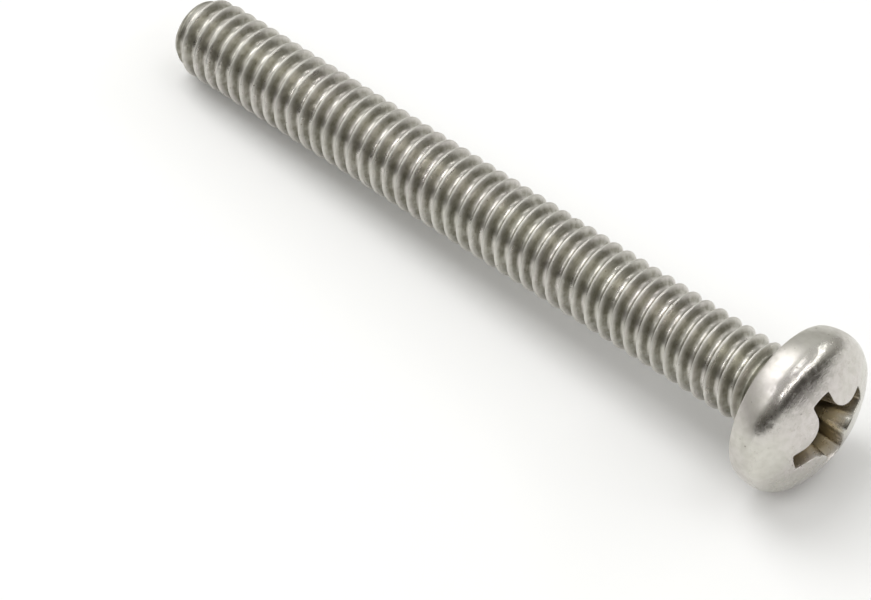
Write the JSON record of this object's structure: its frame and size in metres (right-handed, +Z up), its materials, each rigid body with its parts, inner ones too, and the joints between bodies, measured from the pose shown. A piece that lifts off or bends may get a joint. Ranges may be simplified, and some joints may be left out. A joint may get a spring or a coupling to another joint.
{
  "type": "machine screw",
  "caption": "Pan head machine screw with a cross recess and a fully threaded shank, lying at rest on its head and tip.",
  "frame": {"origin": "middle of the bearing face, on the screw's axis", "axes": "+X along the ground from the head towards the tip, +Z up; the axis dips about 3 degrees towards the tip, because the screw lies on the rim of its head and the end of its thread"},
  "size_m": [0.0401, 0.008, 0.008],
  "materials": {
    "steel": "bright satin stainless steel, lightly scuffed"
  },
  "bodies": {
    "root": {"screw": "steel"}
  },
  "joints": []
}
